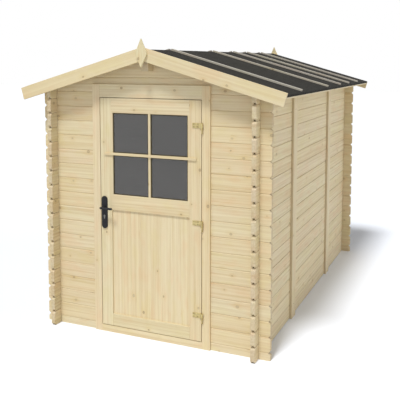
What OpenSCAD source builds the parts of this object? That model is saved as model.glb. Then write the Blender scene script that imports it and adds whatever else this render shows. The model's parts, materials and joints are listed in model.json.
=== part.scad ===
// Garden shed built from interlocking wall boards.
// The wall boards cross at the four corners, each one notched above and
// below so that it grips the boards of the other wall, and their ends
// stand out past both walls. A low felted gable roof has its ridge along Y.
// Front wall faces -Y. Origin: ground level, middle of the floor plan.

/* [Walls] */
// Outer width of the walls, face to face across X
wall_w = 1810; // [1500:1:2200]
// Outer depth of the walls, face to face across Y
wall_d = 3110; // [2550:1:3750]
// Height of one wall board
board_h = 120; // [100:1:145]
// Thickness of a wall board
board_t = 34; // [27:1:42]
// How far the board ends stand out past the crossing wall
corner_ext = 92; // [75:1:112]
// Depth of the V groove where two boards meet
groove = 4; // [3:0.5:7]
// Depth of the V notch between two board ends
end_notch = 18; // [12:1:24]
// Whole boards in a side wall
side_rows = 17; // [17:1:18]

/* [Wall battens] */
// Width of a vertical batten on the side walls
batten_w = 116; // [95:1:140]
// Thickness of a vertical batten
batten_t = 20; // [16:1:24]
// Distance from the middle of the wall to a batten's middle line
batten_y = 655; // [540:1:790]

/* [Roof] */
// Roof pitch in degrees
pitch = 16; // [13:0.5:20]
// Thickness of the roof boards
deck_t = 18; // [15:1:22]
// Thickness of the felt
felt_t = 4; // [3:0.5:5]
// Roof boards past the wall face at the front and rear
gable_out = 105; // [100:1:130]
// Roof edge past the side wall face, measured level
eave_out = 222; // [180:1:270]
// Height of a batten on the felt
lath_h = 14; // [11:0.5:17]
// Width of a batten on the felt
lath_w = 36; // [30:1:44]
// Height of an eave strip, square to the roof
eave_h = 28; // [24:1:34]
// Thickness of an eave strip
eave_t = 20; // [16:1:24]
// Width of a bargeboard
barge_w = 100; // [84:1:120]
// Thickness of a bargeboard
barge_t = 20; // [16:1:24]
// How far a bargeboard stands above the felt
barge_rise = 15; // [12:0.5:18]
// Width of the ridge purlin
purlin_w = 62; // [52:1:74]
// Height of the ridge purlin at its middle
purlin_h = 145; // [120:1:175]
// How far the ridge purlin stops short of the bargeboards
purlin_back = 25; // [0:1:40]
// Thickness of a finial
finial_t = 18; // [15:1:22]
// Height of a finial
finial_h = 218; // [182:1:262]
// Width of a finial
finial_w = 100; // [84:1:120]

/* [Door frame] */
// Width of the clear opening between the jambs
clear_w = 898; // [750:1:980]
// Width of the frame as seen from the front
casing_w = 68; // [58:1:82]
// How far the frame stands proud of the wall on both sides
casing_p = 15; // [12:1:18]
// Depth of the groove that grips the ends of the wall boards
casing_grip = 28; // [22:1:34]
// Width of the strip the leaf shuts against
stop_w = 13; // [11:1:14]
// Visible height of the board over the door
head_h = 105; // [88:1:126]

/* [Door leaf] */
// Gap round the leaf
leaf_gap = 5; // [5:0.5:7]
// Thickness of the leaf frame
leaf_t = 40; // [34:1:46]
// Width of the stiles
stile_w = 100; // [84:1:114]
// Height of the top rail
top_rail_h = 105; // [88:1:120]
// Height of the middle rail
mid_rail_h = 112; // [94:1:130]
// Height of the bottom rail
low_rail_h = 102; // [85:1:120]
// Width of the beads round the glass
bead_w = 14; // [12:1:17]
// Width of a glazing bar
bar_w = 20; // [16:1:24]
// Thickness of the glass
glass_t = 4; // [3:0.5:5]
// Thickness of the boarded lower panel
panel_t = 18; // [15:1:21]
// How far the panel lies behind the face of the leaf
panel_back = 11; // [9:0.5:13]
// Boards in the lower panel
panel_boards = 8; // [6:1:10]

/* [Hinges] */
// Radius of a hinge eye
eye_r = 9; // [8:0.5:11]
// Radius of the pin
pin_r = 5; // [4:0.5:6]
// Length of a strap from the eye's middle
strap_l = 82; // [68:1:98]
// Height of a strap
strap_h = 38; // [32:1:46]
// Thickness of a strap
strap_t = 4; // [3:0.5:5]

/* [Handle] */
// Width of the outside plate
plate_w = 52; // [44:1:54]
// Height of the plates
plate_h = 266; // [222:1:318]
// Thickness of the plates
plate_t = 8; // [7:0.5:10]
// Width of the inside plate
plate_in_w = 40; // [36:1:42]
// Length of a lever from the spindle's middle to its tip
lever_l = 100; // [84:1:120]
// Distance from the leaf face to the middle of a lever
lever_out = 56; // [47:1:67]
// Radius of a lever
lever_r = 9; // [7.5:0.5:10]

/* [Floor] */
// Thickness of the floor boards
floor_t = 18; // [15:1:20]
// Height of the floor joists
joist_h = 36; // [30:1:38]
// Width of a floor joist
joist_w = 58; // [48:1:70]
// Number of floor joists
joists = 7; // [5:2:9]

/* [Hidden] */
$fn = 96;
eps = 0.01;
slit = 0.05;
turn_slit = 0.09;
seat = 0.2;
big = 9000;
row = board_h;
tan_p = tan(pitch);
// middle planes of the walls
mid_x = wall_w / 2 - board_t / 2;
mid_y = wall_d / 2 - board_t / 2;
// ends of the boards
end_x = wall_w / 2 + corner_ext;
end_y = wall_d / 2 + corner_ext;
// groove mouths at the board ends
slot_w = board_t * 0.42;
slot_h = 14;
slot_low = 2;
slot_l = corner_ext / 2;
// underside of the roof boards at the ridge
ridge_z = side_rows * row + tan_p * mid_x;
// roof, measured along and square to the slope
deck_y = wall_d / 2 + gable_out;
purlin_y = deck_y - purlin_back;
deck_u = (wall_w / 2 + eave_out - eave_t) / cos(pitch);
eave_u = deck_u + eave_t;
felt_lo = deck_t + seat;
felt_hi = felt_lo + felt_t;
lath_lo = felt_hi + seat;
barge_top = felt_hi + barge_rise;
lip_h = 14;
barge_u = eave_u + seat + felt_t;
lath_start = 2;
lath_end = eave_u - 22;
lath_ys = [-1180, -285, 257, 682, 1158];
lath_base = 1660;
lath_scale = deck_y / lath_base;
// door frame
clear_x = clear_w / 2;
frame_x = clear_x + casing_w;
cut_x = frame_x - casing_grip;
wall_front = -wall_d / 2;
wall_back = wall_front + board_t;
frame_front = wall_front - casing_p;
frame_back = wall_back + casing_p;
sill_z = row / 2 - leaf_gap;
head_z = 16 * row + 20;
frame_top = head_z + head_h;
cut_z = frame_top - casing_grip;
gable_z = (side_rows - 0.5) * row;
// door leaf
leaf_x = clear_x - leaf_gap;
leaf_front = frame_front;
leaf_back = leaf_front + leaf_t;
leaf_lo = row / 2;
leaf_hi = head_z - leaf_gap;
leaf_h = leaf_hi - leaf_lo;
stile_x = leaf_x - stile_w;
mid_lo = leaf_lo + leaf_h * 0.517;
mid_hi = mid_lo + mid_rail_h;
top_lo = leaf_hi - top_rail_h;
low_hi = leaf_lo + low_rail_h;
stop_y = leaf_back + leaf_gap;
panel_y = leaf_front + panel_back;
panel_grip = 10;
glass_y = leaf_front + 10;
glass_gap = 2;
seal_w = 7;
seal_t = 3;
bar_proud = 10;
bar_over = 62;
bar_z = (mid_hi + top_lo) / 2;
pane_x = stile_x - bead_w;
pane_lo = mid_hi + bead_w;
pane_hi = top_lo - bead_w;
// hinges
hinge_x = clear_x + pin_r;
hinge_y = leaf_front - eye_r - 3;
hinge_zs = [leaf_lo + leaf_h * 0.111, leaf_lo + leaf_h * 0.498, leaf_lo + leaf_h * 0.898];
collar_h = 14;
shank_r = pin_r - 1;
shank_drop = 16;
shank_bend = 11;
pin_in = 36;
shank_low = strap_h / 2 + 1 + collar_h + shank_drop + shank_bend;
web_gap = 3;
// handle
handle_x = -leaf_x + 33;
lever_z = mid_lo + 17;
plate_z = lever_z - 43;
key_z = lever_z - 72;
key_r = 8.5;
plate_steps = 24;
spindle = 8;
spindle_hole = 11.5;
lever_nose = 16;
grip_r = lever_r + 0.8;
grip_waist = 1.6;
grip_steps = 6;
// floor
floor_x = wall_w / 2 - board_t;
floor_y0 = frame_back;
floor_y1 = wall_d / 2 - board_t;
joist_z = min(joist_h, sill_z - floor_t);

wood = [0.85, 0.76, 0.58];
pale = [0.88, 0.80, 0.62];
felt_c = [0.25, 0.25, 0.26];
glass_c = [0.40, 0.42, 0.42, 0.5];
black_c = [0.13, 0.13, 0.14];
zinc_c = [0.80, 0.70, 0.35];
seal_c = [0.20, 0.15, 0.10];

// ---- helpers ----

// height of the underside of the roof over a level distance x
function roof_z(x) = ridge_z - abs(x) * tan_p;

// start of a line at the ground: a whole board has its corner cut by c, a half board is square
function foot_pts(s, x, c) = c > 0 ? [[s * (x - c), 0], [s * x, c]] : [[s * x, 0]];

// points of one grooved wall face, bottom to top; s is -1 or 1
function face_pts(s, first, rows, top, foot) = concat(
    foot_pts(s, board_t / 2, foot),
    [for (k = [0 : rows - 1]) each [
        [s * board_t / 2, first + k * row - groove],
        [s * (board_t / 2 - groove), first + k * row],
        [s * board_t / 2, first + k * row + groove]
    ]],
    [[s * board_t / 2, top]]
);

function reversed(p) = [for (i = [len(p) - 1 : -1 : 0]) p[i]];

// cross-section of a wall: thickness across, height up
module wall_section(first, rows, top_out, top_in, foot) {
    polygon(concat(
        face_pts(1, first, rows, top_out, foot),
        reversed(face_pts(-1, first, rows, top_in, foot))
    ));
}

// points of one notched end of a wall, bottom to top; s is -1 or 1
function end_pts(s, x, first, rows, top, foot) = concat(
    foot_pts(s, x, foot),
    [for (k = [0 : rows - 1]) each [
        [s * x, first + k * row - end_notch],
        [s * (x - end_notch), first + k * row],
        [s * x, first + k * row + end_notch]
    ]],
    [[s * x, top]]
);

// elevation of a side wall: the board ends and the corner notches
module side_elevation() {
    difference() {
        polygon(concat(
            end_pts(1, end_y, row, side_rows - 1, roof_z(0), end_notch),
            reversed(end_pts(-1, end_y, row, side_rows - 1, roof_z(0), end_notch))
        ));
        for (s = [-1, 1])
            for (k = [0 : side_rows])
                translate([s * mid_y - board_t / 2, k * row - row / 4])
                    square([board_t, row / 2]);
    }
}

// elevation of a gable wall
module gable_elevation() {
    difference() {
        polygon(concat(
            end_pts(1, end_x, row / 2, side_rows - 1, roof_z(end_x), 0),
            [[0, ridge_z]],
            reversed(end_pts(-1, end_x, row / 2, side_rows - 1, roof_z(end_x), 0))
        ));
        for (s = [-1, 1])
            for (k = [0 : side_rows - 1])
                translate([s * mid_x - board_t / 2, k * row + row / 4])
                    square([board_t, row / 2]);
        translate([-purlin_w / 2, ridge_z - purlin_h])
            square([purlin_w, purlin_h * 2]);
    }
}

// mouths of the grooves in the board ends, seen along the wall
module end_slots(first, rows) {
    for (k = [0 : rows - 1])
        translate([-slot_w / 2, first + k * row - slot_low])
            square([slot_w, slot_h]);
}

// right side wall standing on its middle plane
module side_wall() {
    difference() {
        intersection() {
            translate([mid_x, end_y, 0])
                rotate([90, 0, 0])
                    linear_extrude(2 * end_y)
                        wall_section(row, side_rows - 1, roof_z(wall_w / 2),
                            roof_z(floor_x), groove);
            translate([mid_x - board_t, 0, 0])
                rotate([90, 0, 90])
                    linear_extrude(2 * board_t)
                        side_elevation();
        }
        for (y = [-end_y + slot_l, end_y])
            translate([mid_x, y, 0])
                rotate([90, 0, 0])
                    linear_extrude(slot_l)
                        end_slots(0, side_rows);
    }
}

// front gable wall before the doorway is cut
module gable_wall() {
    difference() {
        intersection() {
            translate([-end_x, -mid_y, 0])
                rotate([90, 0, 90])
                    linear_extrude(2 * end_x)
                        wall_section(row / 2, side_rows + 2, ridge_z, ridge_z, 0);
            translate([0, -mid_y + board_t, 0])
                rotate([90, 0, 0])
                    linear_extrude(2 * board_t)
                        gable_elevation();
        }
        for (x = [-end_x, end_x - slot_l])
            translate([x, -mid_y, 0])
                rotate([90, 0, 90])
                    linear_extrude(slot_l)
                        end_slots(row / 2, side_rows - 1);
    }
}

// box from its low and high corners
module block(a, b) {
    translate(a)
        cube([b[0] - a[0], b[1] - a[1], b[2] - a[2]]);
}

// point on the right slope: u down the slope, w square to it
function slope(u, w) = [
    u * cos(pitch) + w * sin(pitch),
    ridge_z - u * sin(pitch) + w * cos(pitch)
];

// layer of the right slope from the ridge down to u1, between w0 and w1
module layer(u1, w0, w1, y0, y1) {
    translate([0, y1, 0])
        rotate([90, 0, 0])
            linear_extrude(y1 - y0)
                polygon([
                    slope(-w0 * tan_p, w0),
                    slope(u1, w0),
                    slope(u1, w1),
                    slope(-w1 * tan_p, w1)
                ]);
}

// mirror to the left side
module left() {
    mirror([1, 0, 0])
        children();
}

// turn to the rear
module rear() {
    mirror([0, 1, 0])
        children();
}

// ---- walls ----

module right_side_wall() {
    color(wood)
        side_wall();
}

module left_side_wall() {
    color(wood)
        left()
            side_wall();
}

module front_wall_part() {
    intersection() {
        gable_wall();
        block([-end_x - row, -end_y, 0], [-cut_x, 0, gable_z]);
    }
}

module front_wall_left() {
    color(wood)
        front_wall_part();
}

module front_wall_right() {
    color(wood)
        left()
            front_wall_part();
}

module front_gable() {
    color(wood)
        difference() {
            intersection() {
                gable_wall();
                block([-end_x - row, -end_y, gable_z], [end_x + row, 0, ridge_z + row]);
            }
            block([-cut_x, -end_y, 0], [cut_x, 0, cut_z]);
        }
}

module rear_wall() {
    color(wood)
        rear()
            gable_wall();
}

module side_battens() {
    for (s = [-1, 1])
        translate([0, s * batten_y + batten_w / 2, 0])
            rotate([90, 0, 0])
                linear_extrude(batten_w)
                    polygon([
                        [wall_w / 2, 0],
                        [wall_w / 2 + batten_t, 0],
                        [wall_w / 2 + batten_t, roof_z(wall_w / 2 + batten_t)],
                        [wall_w / 2, roof_z(wall_w / 2)]
                    ]);
}

module right_wall_battens() {
    color(pale)
        side_battens();
}

module left_wall_battens() {
    color(pale)
        left()
            side_battens();
}

// ---- roof ----

module ridge_purlin() {
    color(pale)
        translate([0, purlin_y, 0])
            rotate([90, 0, 0])
                linear_extrude(2 * purlin_y)
                    polygon([
                        [-purlin_w / 2, ridge_z - purlin_h],
                        [purlin_w / 2, ridge_z - purlin_h],
                        [purlin_w / 2, roof_z(purlin_w / 2)],
                        [0, ridge_z],
                        [-purlin_w / 2, roof_z(purlin_w / 2)]
                    ]);
}

module right_roof_boards() {
    color(pale)
        layer(deck_u, seat, deck_t, -deck_y, deck_y);
}

module left_roof_boards() {
    color(pale)
        left()
            layer(deck_u, seat, deck_t, -deck_y, deck_y);
}

// felt of the right slope, turned down over the eave strip
module felt() {
    edge = eave_u + seat;
    translate([0, deck_y, 0])
        rotate([90, 0, 0])
            linear_extrude(2 * deck_y)
                polygon([
                    slope(-felt_lo * tan_p, felt_lo),
                    slope(edge, felt_lo),
                    slope(edge, deck_t - lip_h),
                    slope(barge_u, deck_t - lip_h),
                    slope(barge_u, felt_hi),
                    slope(-felt_hi * tan_p, felt_hi)
                ]);
}

module right_roof_felt() {
    color(felt_c)
        felt();
}

module left_roof_felt() {
    color(felt_c)
        left()
            felt();
}

// battens sawn square at both ends, so that a V stays open over the ridge
module laths() {
    for (y = lath_ys)
        translate([0, y * lath_scale + lath_w / 2, 0])
            rotate([90, 0, 0])
                linear_extrude(lath_w)
                    polygon([
                        slope(lath_start, lath_lo),
                        slope(lath_end, lath_lo),
                        slope(lath_end, lath_lo + lath_h),
                        slope(lath_start, lath_lo + lath_h)
                    ]);
}

module right_roof_battens() {
    color(pale)
        laths();
}

module left_roof_battens() {
    color(pale)
        left()
            laths();
}

module eave_strip() {
    translate([0, deck_y, 0])
        rotate([90, 0, 0])
            linear_extrude(2 * deck_y)
                polygon([
                    slope(deck_u + seat, deck_t - eave_h),
                    slope(eave_u, deck_t - eave_h),
                    slope(eave_u, deck_t),
                    slope(deck_u + seat, deck_t)
                ]);
}

module right_eave_strip() {
    color(pale)
        eave_strip();
}

module left_eave_strip() {
    color(pale)
        left()
            eave_strip();
}

module bargeboard() {
    layer(barge_u, barge_top - barge_w, barge_top, -deck_y - barge_t, -deck_y);
}

module front_right_bargeboard() {
    color(pale)
        bargeboard();
}

module front_left_bargeboard() {
    color(pale)
        left()
            bargeboard();
}

module rear_right_bargeboard() {
    color(pale)
        rear()
            bargeboard();
}

module rear_left_bargeboard() {
    color(pale)
        rear()
            left()
                bargeboard();
}

// half outline of a finial, as shares of its width and height
finial_half = [[0, 1], [0.09, 0.91], [0.19, 0.80], [0.34, 0.655], [0.46, 0.55],
    [0.50, 0.48], [0.45, 0.42], [0.37, 0.34], [0.18, 0.17], [0.07, 0.06], [0, 0]];
finial_z = ridge_z + barge_top / cos(pitch) + finial_h * 0.29;

module finial() {
    half = [for (p = finial_half) [p[0] * finial_w, (p[1] - 1) * finial_h]];
    other = [for (i = [len(half) - 2 : -1 : 1]) [-half[i][0], half[i][1]]];
    translate([0, -deck_y - barge_t, finial_z])
        rotate([90, 0, 0])
            linear_extrude(finial_t)
                polygon(concat(half, other));
}

module front_finial() {
    color(pale)
        finial();
}

module rear_finial() {
    color(pale)
        rear()
            finial();
}

// ---- door frame ----

// side of the frame: grips the ends of the wall boards in a groove
module jamb() {
    difference() {
        block([clear_x, frame_front, 0], [frame_x, frame_back, frame_top]);
        block([cut_x, wall_front, -eps], [frame_x + eps, wall_back, frame_top + eps]);
        block([clear_x - eps, wall_front, cut_z], [frame_x, wall_back, frame_top + eps]);
    }
    block([clear_x - stop_w, stop_y, sill_z], [clear_x + eps, frame_back, head_z]);
}

module left_jamb() {
    color(pale)
        left()
            jamb();
}

module right_jamb() {
    color(pale)
        difference() {
            jamb();
            for (z = hinge_zs)
                translate([hinge_x, hinge_y, z - shank_low])
                    rotate([-90, 0, 0])
                        cylinder(h = pin_in + shank_bend + slit, r = shank_r + slit);
        }
}

module door_head() {
    color(pale)
        difference() {
            union() {
                block([-clear_x, frame_front, head_z], [clear_x, frame_back, frame_top]);
                block([-clear_x + stop_w, stop_y, head_z - stop_w],
                    [clear_x - stop_w, frame_back, head_z + eps]);
            }
            block([-clear_x - eps, wall_front, cut_z],
                [clear_x + eps, wall_back, frame_top + eps]);
        }
}

module threshold() {
    color(pale)
        block([-clear_x, frame_front, 0], [clear_x, frame_back, sill_z]);
}

// ---- floor ----

module floor_boards() {
    color(pale)
        block([-floor_x, floor_y0, joist_z], [floor_x, floor_y1, joist_z + floor_t]);
}

module floor_joists() {
    step = (floor_y1 - floor_y0 - joist_w) / (joists - 1);
    color(wood)
        for (k = [0 : joists - 1])
            block([-floor_x, floor_y0 + k * step, 0],
                [floor_x, floor_y0 + k * step + joist_w, joist_z]);
}

// ---- hinges ----

// pin on a collar; its shank goes down, bends and is driven into the jamb
module pintle(z) {
    collar_top = z - strap_h / 2 - 1;
    bend_z = collar_top - collar_h - shank_drop;
    translate([hinge_x, hinge_y, collar_top - collar_h])
        cylinder(h = collar_h, r = eye_r);
    translate([hinge_x, hinge_y, collar_top])
        cylinder(h = strap_h + 3, r = pin_r - slit);
    translate([hinge_x, hinge_y, bend_z])
        cylinder(h = shank_drop, r = shank_r);
    translate([hinge_x, hinge_y + shank_bend, bend_z])
        rotate([90, 0, 90])
            rotate([0, 0, 180])
                rotate_extrude(angle = 90)
                    translate([shank_bend, 0])
                        circle(r = shank_r);
    translate([hinge_x, hinge_y + shank_bend, bend_z - shank_bend])
        rotate([-90, 0, 0])
            cylinder(h = pin_in, r = shank_r);
}

module hinge_pintles() {
    color(zinc_c)
        for (z = hinge_zs)
            pintle(z);
}

// strap with its eye
module strap(z) {
    difference() {
        union() {
            translate([hinge_x, hinge_y, z - strap_h / 2])
                cylinder(h = strap_h, r = eye_r);
            block([hinge_x - strap_l, leaf_front - strap_t, z - strap_h / 2],
                [leaf_x, leaf_front, z + strap_h / 2]);
            block([leaf_x - 10, leaf_front - web_gap - strap_t, z - strap_h / 2],
                [hinge_x, leaf_front - web_gap, z + strap_h / 2]);
        }
        translate([hinge_x, hinge_y, z - strap_h])
            cylinder(h = 2 * strap_h, r = pin_r);
    }
}

module hinge_straps() {
    color(zinc_c)
        for (z = hinge_zs)
            strap(z);
}

// ---- door leaf ----

// groove for the boarded panel
module panel_slot() {
    block([-stile_x - panel_grip, panel_y, low_hi - panel_grip],
        [stile_x + panel_grip, panel_y + panel_t, mid_lo + panel_grip]);
}

module stile() {
    difference() {
        block([stile_x, leaf_front, leaf_lo], [leaf_x, leaf_back, leaf_hi]);
        panel_slot();
    }
}

module hinge_stile() {
    color(pale)
        stile();
}

module lock_stile() {
    color(pale)
        difference() {
            left()
                stile();
            translate([handle_x, leaf_front - 1, lever_z])
                rotate([-90, 0, 0])
                    cylinder(h = leaf_t + 2, r = spindle_hole);
            translate([handle_x, leaf_front - 1, key_z])
                rotate([-90, 0, 0])
                    cylinder(h = leaf_t + 2, r = key_r);
        }
}

module rail(z0, z1) {
    block([-stile_x, leaf_front, z0], [stile_x, leaf_back, z1]);
}

module top_rail() {
    color(pale)
        rail(top_lo, leaf_hi);
}

module middle_rail() {
    color(pale)
        difference() {
            rail(mid_lo, mid_hi);
            panel_slot();
        }
}

module bottom_rail() {
    color(pale)
        difference() {
            rail(leaf_lo, low_hi);
            panel_slot();
        }
}

// upright boards with a V groove between each two
module door_panel() {
    half = stile_x + panel_grip;
    board = 2 * half / panel_boards;
    vee = 1.5;
    color(pale)
        translate([0, 0, low_hi - panel_grip])
            linear_extrude(mid_lo - low_hi + 2 * panel_grip)
                polygon(concat(
                    [[-half, panel_y + panel_t], [-half, panel_y]],
                    [for (k = [1 : panel_boards - 1]) each [
                        [-half + k * board - vee, panel_y],
                        [-half + k * board, panel_y + vee],
                        [-half + k * board + vee, panel_y]
                    ]],
                    [[half, panel_y], [half, panel_y + panel_t]]
                ));
}

module door_glass() {
    color(glass_c)
        block([-stile_x + glass_gap, glass_y, mid_hi + glass_gap],
            [stile_x - glass_gap, glass_y + glass_t, top_lo - glass_gap]);
}

module bead_ring(y0, y1) {
    difference() {
        block([-stile_x + slit, y0, mid_hi + slit], [stile_x - slit, y1, top_lo - slit]);
        block([-pane_x, y0 - 1, pane_lo], [pane_x, y1 + 1, pane_hi]);
    }
}

module window_beads() {
    color(pale) {
        bead_ring(leaf_front, glass_y);
        bead_ring(glass_y + glass_t, leaf_back);
    }
}

// crossing bars; the level one laps over both stiles with round ends
module glazing_bars() {
    color(pale)
        union() {
            block([-bar_w / 2, leaf_front, pane_lo], [bar_w / 2, glass_y, pane_hi]);
            block([-pane_x, leaf_front - eps, bar_z - bar_w / 2],
                [pane_x, glass_y, bar_z + bar_w / 2]);
            translate([0, leaf_front, bar_z])
                rotate([90, 0, 0])
                    linear_extrude(bar_proud) {
                        square([2 * (stile_x + bar_over) - bar_w, bar_w], center = true);
                        for (s = [-1, 1])
                            translate([s * (stile_x + bar_over - bar_w / 2), 0])
                                circle(r = bar_w / 2);
                    }
        }
}

// seal pressed round the outside of each of the four panes
module window_seals() {
    color(seal_c)
        for (s = [-1, 1])
            for (z = [[pane_lo, bar_z - bar_w / 2], [bar_z + bar_w / 2, pane_hi]]) {
                mid = s * (pane_x + bar_w / 2) / 2;
                half = (pane_x - bar_w / 2) / 2 - slit;
                difference() {
                    block([mid - half, glass_y - seal_t, z[0] + slit],
                        [mid + half, glass_y, z[1] - slit]);
                    block([mid - half + seal_w, glass_y - 2 * seal_t, z[0] + slit + seal_w],
                        [mid + half - seal_w, glass_y + 1, z[1] - slit - seal_w]);
                }
            }
}

// ---- handle ----

// outline of a plate: w wide with round ends
function plate_pts(w) = [
    for (s = [1, -1])
        for (i = [0 : plate_steps])
            let (a = (s > 0 ? 0 : 180) + 180 * i / plate_steps)
                [handle_x + w / 2 * cos(a),
                    plate_z + s * (plate_h - w) / 2 + w / 2 * sin(a)]
];

// plate with round ends, bored for the lever and the lock
module plate(w, y0) {
    difference() {
        translate([0, y0 + plate_t, 0])
            rotate([90, 0, 0])
                linear_extrude(plate_t)
                    polygon(plate_pts(w));
        translate([handle_x, y0 - 1, lever_z])
            rotate([-90, 0, 0])
                cylinder(h = plate_t + 2, r = lever_r + turn_slit);
        translate([handle_x, y0 - 1, key_z])
            rotate([-90, 0, 0])
                cylinder(h = plate_t + 2, r = key_r);
    }
}

module handle_plates() {
    color(black_c) {
        plate(plate_w, leaf_front - plate_t);
        plate(plate_in_w, leaf_back);
    }
}

module lock_cylinder() {
    color(zinc_c)
        translate([handle_x, leaf_front - plate_t - 2, key_z])
            rotate([-90, 0, 0])
                cylinder(h = leaf_t + 2 * plate_t + 4, r = key_r);
}

// half profile of the grip: radius across, length up, with round ends
function grip_pts() = concat(
    [[0, -lever_nose]],
    [for (i = [1 : grip_steps])
        let (a = 90 * i / grip_steps)
            [grip_r * sin(a), -lever_nose + grip_r * (1 - cos(a))]],
    [[grip_r - grip_waist, lever_l * 0.55]],
    [for (i = [0 : grip_steps - 1])
        let (a = 90 * i / grip_steps)
            [grip_r * cos(a), lever_l - grip_r * (1 - sin(a))]],
    [[0, lever_l]]
);

// one lever with its neck; s is -1 outside and 1 inside
module lever(y_face, s) {
    y_mid = y_face + s * lever_out;
    translate([handle_x, min(y_face, y_mid), lever_z])
        rotate([-90, 0, 0])
            cylinder(h = lever_out, r = lever_r);
    translate([handle_x, y_mid, lever_z])
        rotate([0, 90, 0])
            rotate_extrude()
                polygon(grip_pts());
}

module lever_handle() {
    color(black_c)
        union() {
            lever(leaf_front, -1);
            lever(leaf_back, 1);
            block([handle_x - spindle / 2, leaf_front - 1, lever_z - spindle / 2],
                [handle_x + spindle / 2, leaf_back + 1, lever_z + spindle / 2]);
        }
}

right_side_wall();
left_side_wall();
front_wall_left();
front_wall_right();
front_gable();
rear_wall();
right_wall_battens();
left_wall_battens();
ridge_purlin();
right_roof_boards();
left_roof_boards();
right_roof_felt();
left_roof_felt();
right_roof_battens();
left_roof_battens();
right_eave_strip();
left_eave_strip();
front_right_bargeboard();
front_left_bargeboard();
rear_right_bargeboard();
rear_left_bargeboard();
front_finial();
rear_finial();
left_jamb();
right_jamb();
door_head();
threshold();
floor_boards();
floor_joists();
hinge_pintles();
lock_stile();
hinge_stile();
top_rail();
middle_rail();
bottom_rail();
door_panel();
door_glass();
window_beads();
glazing_bars();
window_seals();
hinge_straps();
handle_plates();
lock_cylinder();
lever_handle();
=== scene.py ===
# %% [markdown]
# # A timber garden shed, board by board
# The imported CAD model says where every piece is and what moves. This script
# gives it its looks: separate boards with real edges, knots, felt and zinc.

# %% Load the frame
import json
import math
from itertools import product

import bmesh
import bpy
from mathutils import Matrix, Vector, noise

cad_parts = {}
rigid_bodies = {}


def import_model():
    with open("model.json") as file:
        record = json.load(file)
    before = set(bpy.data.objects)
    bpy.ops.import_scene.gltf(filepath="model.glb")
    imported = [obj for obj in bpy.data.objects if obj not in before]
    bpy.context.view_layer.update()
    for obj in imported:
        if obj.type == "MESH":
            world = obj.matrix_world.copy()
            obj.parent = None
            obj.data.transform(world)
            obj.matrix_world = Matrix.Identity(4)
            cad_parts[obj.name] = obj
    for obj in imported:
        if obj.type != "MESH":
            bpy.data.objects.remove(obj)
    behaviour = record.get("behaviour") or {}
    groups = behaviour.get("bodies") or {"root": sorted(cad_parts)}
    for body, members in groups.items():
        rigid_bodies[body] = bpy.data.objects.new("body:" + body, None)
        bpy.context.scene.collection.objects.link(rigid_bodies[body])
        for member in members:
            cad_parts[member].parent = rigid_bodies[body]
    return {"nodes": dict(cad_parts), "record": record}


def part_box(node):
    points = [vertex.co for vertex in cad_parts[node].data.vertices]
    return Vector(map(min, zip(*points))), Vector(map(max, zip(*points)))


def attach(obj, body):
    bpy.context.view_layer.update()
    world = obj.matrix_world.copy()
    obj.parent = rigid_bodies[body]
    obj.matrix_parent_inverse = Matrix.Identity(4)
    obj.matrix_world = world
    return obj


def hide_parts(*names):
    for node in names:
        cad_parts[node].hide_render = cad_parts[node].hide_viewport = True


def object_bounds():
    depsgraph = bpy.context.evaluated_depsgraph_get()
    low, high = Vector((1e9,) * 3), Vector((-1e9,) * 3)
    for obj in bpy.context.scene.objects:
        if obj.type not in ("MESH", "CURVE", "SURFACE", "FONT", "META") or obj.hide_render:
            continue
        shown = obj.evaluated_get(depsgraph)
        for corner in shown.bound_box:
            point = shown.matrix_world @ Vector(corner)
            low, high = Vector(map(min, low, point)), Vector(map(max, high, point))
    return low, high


for start_up in list(bpy.data.objects):
    bpy.data.objects.remove(start_up)
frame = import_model()
cad_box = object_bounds()
nodes = frame["nodes"]
size = cad_box[1] - cad_box[0]
print(f"frame: {len(nodes)} nodes, {size.x:.3f} x {size.y:.3f} x {size.z:.3f} m")

# %% [markdown]
# ## Sizes
# One wall board profile sets the whole shed, so it is the driving size here
# too. Places come from the frame's boxes, so boards lie where the CAD has them.

# %% Driving sizes in metres
BOARD_H = 0.120  # cover height of a wall board
VEE = 0.004  # chamfer along a board's face edges
END_CUT = 0.018  # chamfer on the corners of a board's end
SLOT_W = 0.0143  # groove along the underside
SLOT_H = 0.012
TONGUE_END = 0.046  # the tongue stops this far short of the end
TONGUE_LOW = 0.003  # and this far below the groove's roof
TONGUE_PLAY = 0.0004  # play beside the tongue, at its foot
TONGUE_TAPER = 0.002  # and at its top
SAW_GAP = 0.0003  # play in the corner notches
PITCH = math.radians(16)
SIN, COS, TAN = math.sin(PITCH), math.cos(PITCH), math.tan(PITCH)

side_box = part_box("right_side_wall")
rear_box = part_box("rear_wall")
front_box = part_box("front_wall_left")
gable_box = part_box("front_gable")
deck_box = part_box("right_roof_boards")
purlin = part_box("ridge_purlin")

board_t = side_box[1].x - side_box[0].x
wall_x = (side_box[0].x + side_box[1].x) / 2
wall_y = (rear_box[0].y + rear_box[1].y) / 2
ridge_z = purlin[1].z
print(f"board {board_t * 1000:.0f} mm thick, walls at x {wall_x:.3f} and y {wall_y:.3f}")

# %% [markdown]
# ## Arithmetic on sockets
# Dozens of hand-linked Math nodes are hard to read. One small class wraps a
# socket and overloads + - * /, so that `1 - mask` adds its node by itself. A
# second holds the tree and has one method for every other node.

# %% Wires and graphs
NODE_STEP = 180  # room for a node in the editor


def operator(operation, swapped=False):
    """The method behind an arithmetic sign: it adds one Math node."""
    def method(self, other):
        pair = (other, self) if swapped else (self, other)
        return self.graph.math(operation, *pair)
    return method


class Wire:
    """A socket that can be used in an expression."""
    __add__ = __radd__ = operator("ADD")
    __sub__, __rsub__ = operator("SUBTRACT"), operator("SUBTRACT", swapped=True)
    __mul__ = __rmul__ = operator("MULTIPLY")
    __truediv__ = operator("DIVIDE")
    __pow__ = operator("POWER")

    def __init__(self, graph, socket):
        self.graph, self.socket = graph, socket


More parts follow.
